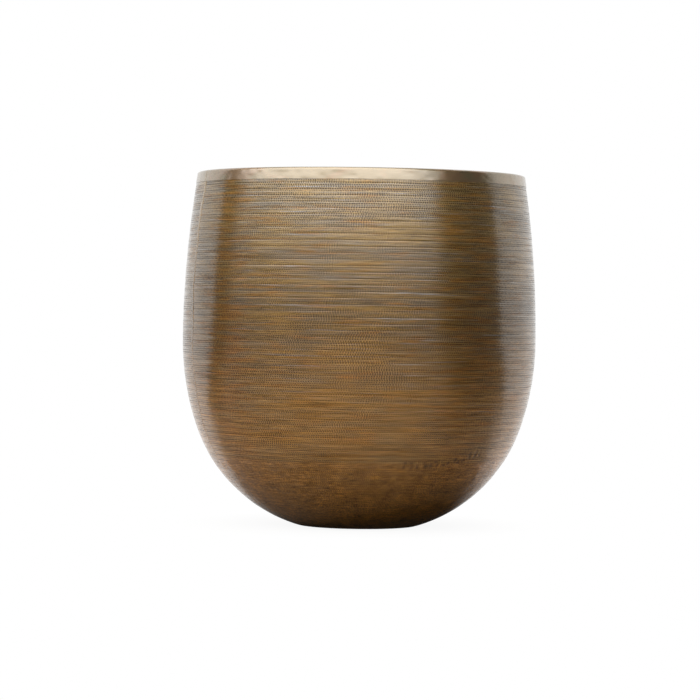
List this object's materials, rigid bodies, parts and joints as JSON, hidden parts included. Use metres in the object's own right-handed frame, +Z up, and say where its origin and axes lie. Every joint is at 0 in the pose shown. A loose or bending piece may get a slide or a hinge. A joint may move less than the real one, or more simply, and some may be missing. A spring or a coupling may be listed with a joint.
{
  "type": "planter pot",
  "caption": "Round brazed sheet-brass planter pot with an etched bulging side wall, a dished base with a flat foot and a plain folded rim band.",
  "frame": {"origin": "centre of the flat foot's underside", "axes": "+Z up along the pot's axis, -Y towards the viewer's side of the pot, with the upright seam on the left of it"},
  "size_m": [0.252, 0.252, 0.25],
  "materials": {
    "etched_brass": "antiqued, with rows of engraved lines",
    "planished_brass": "antiqued, finely lined and lightly hammered",
    "polished_brass": "plain and bright, with shallow hammer marks",
    "braze": "filed flush"
  },
  "bodies": {
    "root": {"side_wall": "etched_brass", "base_bowl": "planished_brass", "rim_band": "polished_brass", "side_seam_braze": "braze", "base_seam_braze": "braze", "rim_joint_braze": "braze", "rim_fillet_braze": "braze"}
  },
  "joints": []
}
